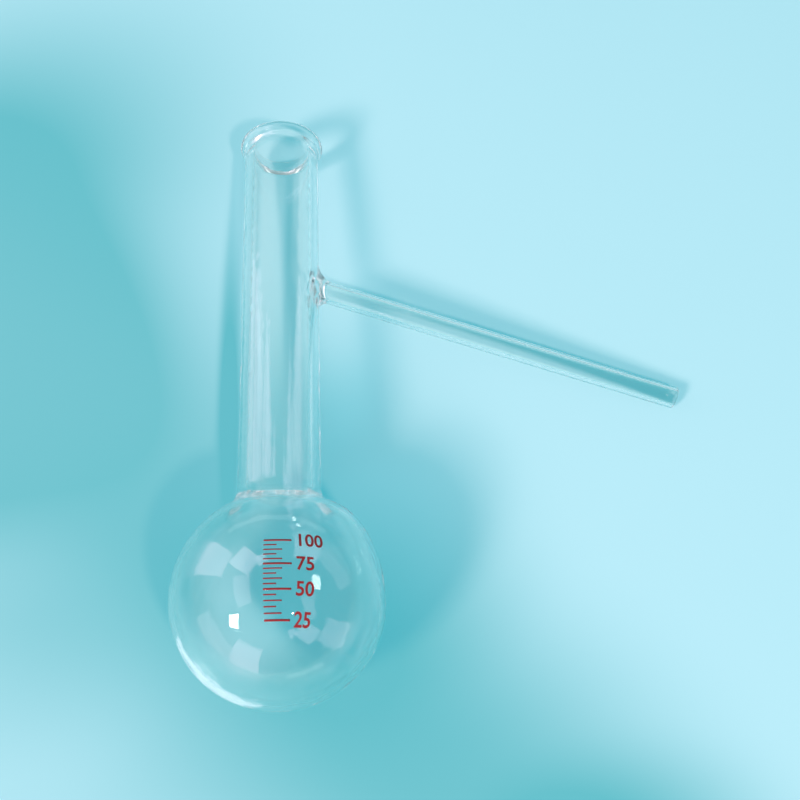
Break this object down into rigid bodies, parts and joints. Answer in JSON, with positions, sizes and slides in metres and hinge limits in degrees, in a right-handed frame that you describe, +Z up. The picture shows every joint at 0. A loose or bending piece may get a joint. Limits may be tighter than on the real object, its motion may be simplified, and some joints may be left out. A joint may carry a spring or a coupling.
{
  "type": "distillation flask",
  "caption": "Round-bottomed glass distilling flask with a straight neck, beaded mouth and a long sloping side tube, lying at rest.",
  "frame": {"origin": "centre of the bottom of the bounding box, on the surface that the flask lies on", "axes": "+Z up; +Y along the neck towards the mouth, which lies lower than the bulb; +X towards the side tube's tip"},
  "size_m": [0.1776, 0.2164, 0.069],
  "materials": {
    "glass": "clear, fire-polished",
    "enamel": "fired screen print"
  },
  "bodies": {
    "root": {"flask": "glass"}
  },
  "joints": []
}
